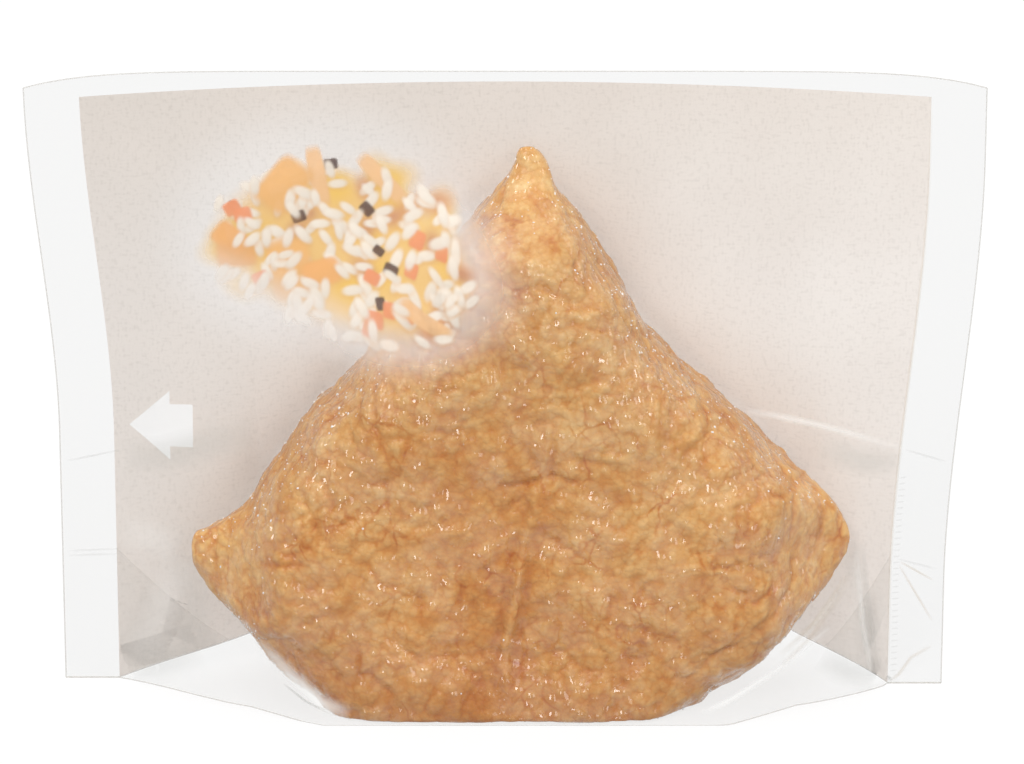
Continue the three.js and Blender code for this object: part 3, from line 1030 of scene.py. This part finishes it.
def toned(tree, factors, tones):
    """The product of some tones, each led by the pattern of the same name."""
    colour = None
    for name, stops in tones.items():
        layer = ramp(tree, factors[name], stops)
        if colour is None:
            colour = layer
            continue
        mix = add_node(tree, "ShaderNodeMix", {"Factor": 1.0, 6: colour, 7: layer},
                       data_type="RGBA", blend_type="MULTIPLY")
        colour = mix.outputs[2]
    return colour


def attribute(tree, name):
    return add_node(tree, "ShaderNodeAttribute", attribute_name=name).outputs["Fac"]


def object_place(tree):
    return add_node(tree, "ShaderNodeTexCoord").outputs["Object"]


def soft_noise(tree, place, scale, detail=2.0, output="Fac"):
    node = add_node(tree, "ShaderNodeTexNoise", {"Vector": place, "Scale": scale, "Detail": detail})
    return node.outputs[output]


def bent_place(tree, place, scale, reach):
    """A place shifted by noise."""
    bend = soft_noise(tree, place, scale, output="Color")
    shifted = add_node(tree, "ShaderNodeVectorMath", {0: bend, 1: (reach, reach, reach), 2: place},
                       operation="MULTIPLY_ADD")
    return shifted.outputs["Vector"]


def stretched(tree, place, scale):
    return add_node(tree, "ShaderNodeMapping", {"Vector": place, "Scale": scale}).outputs["Vector"]


def cell_distance(tree, place, scale=1.0, **settings):
    node = add_node(tree, "ShaderNodeTexVoronoi", {"Vector": place, "Scale": scale}, **settings)
    return node.outputs["Distance"]


def carried(tree, value, source, target=(0.0, 1.0), **settings):
    """A value carried from one range over to another."""
    low, high = source
    start, end = target
    node = add_node(tree, "ShaderNodeMapRange", {
        "Value": value, "From Min": low, "From Max": high, "To Min": start, "To Max": end,
    }, **settings)
    return node.outputs["Result"]


def calculated(tree, operation, first, second):
    return add_node(tree, "ShaderNodeMath", {0: first, 1: second}, operation=operation).outputs["Value"]


def bump(tree, height, distance, strength, normal=None, invert=True):
    """Fine relief on top of another, sunk where the pattern is high unless it isn't inverted."""
    inputs = {"Height": height, "Distance": distance, "Strength": strength}
    if normal is not None:
        inputs["Normal"] = normal
    return add_node(tree, "ShaderNodeBump", inputs, invert=invert).outputs["Normal"]


def blend(tree, share, first, second):
    return add_node(tree, "ShaderNodeMixShader", {0: share, 1: first, 2: second}).outputs["Shader"]


def see_through(tree, tint=PLAIN):
    return add_node(tree, "ShaderNodeBsdfTransparent", {"Color": (*tint, 1.0)}).outputs["BSDF"]


def crack_lines(tree, place):
    """Fine broken lines between the skin's blisters, longer upright than across, from 0 to 1."""
    bent = bent_place(tree, place, 240.0, 0.005)
    edge = cell_distance(tree, stretched(tree, bent, CRACK_CELLS), feature="DISTANCE_TO_EDGE")
    line = carried(tree, edge, (0.0, 0.1), (1.0, 0.0), interpolation_type="SMOOTHSTEP")
    shown = carried(tree, soft_noise(tree, place, 170.0), (0.44, 0.7))
    return calculated(tree, "MULTIPLY", line, shown)


def tofu_colour(tree, place):
    """Golden skin in all its tones, with painted shade, painted highlights and a painted ear glow among
    them, and the patterns that its fine relief shares: cells and grain.
    """
    cells = cell_distance(tree, bent_place(tree, place, 700.0, 0.001), 950.0)
    grain = soft_noise(tree, place, 2200.0, 3.0)
    height = add_node(tree, "ShaderNodeSeparateXYZ", {"Vector": place}).outputs["Z"]
    colour = toned(tree, {
        "blotch": soft_noise(tree, place, 110.0, 4.0), "dome": attribute(tree, "dome"), "vein": cells,
        "spot": soft_noise(tree, place, 360.0, 3.0), "fleck": grain, "crease": attribute(tree, "crease"),
        "crack": crack_lines(tree, place), "ear": attribute(tree, "ear"),
        "height": carried(tree, height, (0.0, 0.05)),
    }, SKIN_TONES)
    return colour, cells, grain


def tofu_material():
    """Moist fried tofu skin, with fine grain under a wet coat that glints on its pebbles."""
    material, tree, output = new_material("fried_tofu_skin")
    place = object_place(tree)
    colour, cells, grain = tofu_colour(tree, place)
    pebbles = bump(tree, cells, 0.0003, 0.5)
    rough = bump(tree, grain, 0.0002, 0.3, pebbles, invert=False)
    damp = soft_noise(tree, place, 150.0, 3.0)
    drops = cell_distance(tree, stretched(tree, place, DROP_CELLS))
    water = bump(tree, calculated(tree, "MULTIPLY", drops, drops), 0.0012, 1.0)
    skin = add_node(tree, "ShaderNodeBsdfPrincipled", {
        "Base Color": colour, "Roughness": carried(tree, grain, (0.3, 0.7), (0.28, 0.42)), "Normal": rough,
        "Specular IOR Level": 0.3, "Coat Weight": carried(tree, damp, (0.41, 0.56), (0.05, 1.0)),
        "Coat Roughness": 0.08, "Coat IOR": 1.6, "Coat Normal": water,
    })
    tree.links.new(skin.outputs["BSDF"], output.inputs["Surface"])
    return material


def pass_lamps(tree, output, shader):
    """Lets light through to what is behind, so that the film throws no shadow of its own."""
    shadow_ray = add_node(tree, "ShaderNodeLightPath").outputs["Is Shadow Ray"]
    tree.links.new(blend(tree, shadow_ray, shader, see_through(tree)), output.inputs["Surface"])


def film_material(name, tint, roughness, least, most):
    """Thin clear film: tinted see-through with a glossy reflection that grows towards its edges."""
    material, tree, output = new_material(name)
    gloss = add_node(tree, "ShaderNodeBsdfGlossy", {"Color": (*PLAIN, 1.0), "Roughness": roughness})
    facing = add_node(tree, "ShaderNodeLayerWeight", {"Blend": 0.12}).outputs["Facing"]
    amount = carried(tree, facing, (0.0, 1.0), (least, most))
    pass_lamps(tree, output, blend(tree, amount, see_through(tree, tint), gloss.outputs["BSDF"]))
    return material


def fold_material(name, colour, strength):
    """A soft fold of the film, drawn as a colour that shows as strongly as its strip says: painted shade in
    the grey folds and painted highlight in the pale ones.
    """
    material, tree, output = new_material(name)
    tone = add_node(tree, "ShaderNodeBsdfDiffuse", {"Color": (*colour, 1.0)})
    amount = carried(tree, attribute(tree, "cover"), (0.0, 1.0), (0.0, strength))
    pass_lamps(tree, output, blend(tree, amount, see_through(tree), tone.outputs["BSDF"]))
    return material


def thin_material(name, colour, cover):
    """A glossy colour that is partly seen through, for the film's edges, the white beads of painted glints
    and white ink.
    """
    material, tree, output = new_material(name)
    tone = add_node(tree, "ShaderNodeBsdfPrincipled", {"Base Color": (*colour, 1.0), "Roughness": 0.2})
    pass_lamps(tree, output, blend(tree, cover, see_through(tree), tone.outputs["BSDF"]))
    return material


def panel_material(name, let_through):
    """Beige print with a fine woven mottle, greyer towards its left and whiter around the picture."""
    material, tree, output = new_material(name)
    place = object_place(tree)
    parts = add_node(tree, "ShaderNodeSeparateXYZ", {"Vector": place}).outputs
    lean = carried(tree, parts["X"], (-0.06, 0.06))
    drift = calculated(tree, "ADD", soft_noise(tree, place, 45.0, 3.0), lean)
    threads = [soft_noise(tree, stretched(tree, place, scale), 1.0) for scale in PANEL_THREADS]
    colour = toned(tree, {
        "drift": calculated(tree, "MULTIPLY", drift, 0.5), "weave": calculated(tree, "ADD", *threads),
        "glow": attribute(tree, "glow"), "height": carried(tree, parts["Z"], (0.065, 0.093)),
    }, PANEL_TONES)
    front = add_node(tree, "ShaderNodeBsdfDiffuse", {"Color": colour})
    through = add_node(tree, "ShaderNodeBsdfTranslucent", {"Color": colour})
    sheet = blend(tree, let_through, front.outputs["BSDF"], through.outputs["BSDF"])
    tree.links.new(sheet, output.inputs["Surface"])
    return material


def picture_material():
    """Ink whose colour and cover are stored on the picture's mesh."""
    material, tree, output = new_material("picture_ink")
    ink = add_node(tree, "ShaderNodeAttribute", attribute_name="ink").outputs
    dots = add_node(tree, "ShaderNodeBsdfDiffuse", {"Color": ink["Color"]})
    pass_lamps(tree, output, blend(tree, ink["Alpha"], see_through(tree), dots.outputs["BSDF"]))
    return material


# Stage

def make_camera():
    data = bpy.data.cameras.new("camera")
    data.sensor_width = SENSOR_WIDTH
    data.lens = SENSOR_WIDTH * FOCAL_PIXELS / PHOTO_WIDTH
    camera = link_object("camera", data)
    away = Vector((0.0, -math.cos(CAMERA_ELEVATION), math.sin(CAMERA_ELEVATION)))
    camera.location = CAMERA_AIM + away * CAMERA_DISTANCE
    camera.rotation_euler = away.to_track_quat("Z", "Y").to_euler()
    bpy.context.scene.camera = camera


def add_light(name, place, size, power):
    """A square soft light, turned towards the pack."""
    data = bpy.data.lights.new(name, "AREA")
    data.size = size
    data.energy = power
    light = link_object(name, data)
    light.location = place
    light.rotation_euler = (Vector(place) - CAMERA_AIM).to_track_quat("Z", "Y").to_euler()


def make_floor():
    """A plain white floor, which gives off some light so that it shows no grey."""
    material, tree, output = new_material("floor_white")
    plain = add_node(tree, "ShaderNodeBsdfPrincipled", {
        "Base Color": (*FLOOR_TONE, 1.0), "Roughness": 1.0, "Specular IOR Level": 0.0,
        "Emission Color": (*PLAIN, 1.0), "Emission Strength": FLOOR_GLOW,
    })
    tree.links.new(plain.outputs["BSDF"], output.inputs["Surface"])
    corners = [(x * FLOOR_HALF, y * FLOOR_HALF, 0.0) for x, y in ((-1, -1), (1, -1), (1, 1), (-1, 1))]
    mesh = bpy.data.meshes.new("floor")
    mesh.from_pydata(corners, [], [(0, 1, 2, 3)])
    mesh.materials.append(material)
    floor = link_object("floor", mesh)
    floor.visible_diffuse = False


def make_studio():
    world = bpy.data.worlds.new("studio")
    world.use_nodes = True
    background = world.node_tree.nodes["Background"]
    background.inputs["Color"].default_value = (*PLAIN, 1.0)
    background.inputs["Strength"].default_value = WORLD_STRENGTH
    bpy.context.scene.world = world
    for light in LIGHTS:
        add_light(*light)
    bpy.context.scene.view_settings.view_transform = "Standard"


clear_film = film_material("clear_film", (0.94, 0.94, 0.938), 0.45, 0.01, 0.5)
base_film = film_material("base_film", (0.97, 0.97, 0.967), 0.3, 0.0, 0.1)
pouch_points, pouch_normals, pouch_tops = make_pouch(tofu_material())
# White beads as painted glints on the skin
make_painted_glints(pouch_points, pouch_normals, pouch_tops, thin_material("painted_glints", (0.95, 0.95, 0.93), 0.8))
film_depths = make_film(pouch_points, clear_film, base_film)
make_film_edges(film_depths, thin_material("film_edge", (0.5, 0.47, 0.42), 0.3))
# Grey strips: painted shade along the folds, with the seal's crimp marks in the same grey
shade_and_crimp_folds = PAINTED_SHADE_FOLDS + seal_ticks()
warm_folds = WARM_FOLDS + [(print_edge(2.0), 0.6, 0.5)]
make_folds("shade_and_crimp_folds", shade_and_crimp_folds, film_depths, fold_material("shade_and_crimp_grey", (0.42, 0.42, 0.39), 0.5))
# Pale strips: painted highlights on the film
make_folds("painted_highlight_folds", PAINTED_HIGHLIGHT_FOLDS, film_depths, fold_material("painted_highlight_fold", (0.95, 0.95, 0.93), 0.8))
make_folds("warm_folds", warm_folds, film_depths, fold_material("warm_fold", (0.55, 0.44, 0.30), 0.6))
make_back_panel(film_depths, panel_material("beige_print", 0.6), panel_material("beige_outside", 0.1))
make_picture(film_depths, picture_material())
make_arrow(film_depths, thin_material("white_ink", (0.9, 0.9, 0.9), 0.9))
make_camera()
make_floor()
make_studio()
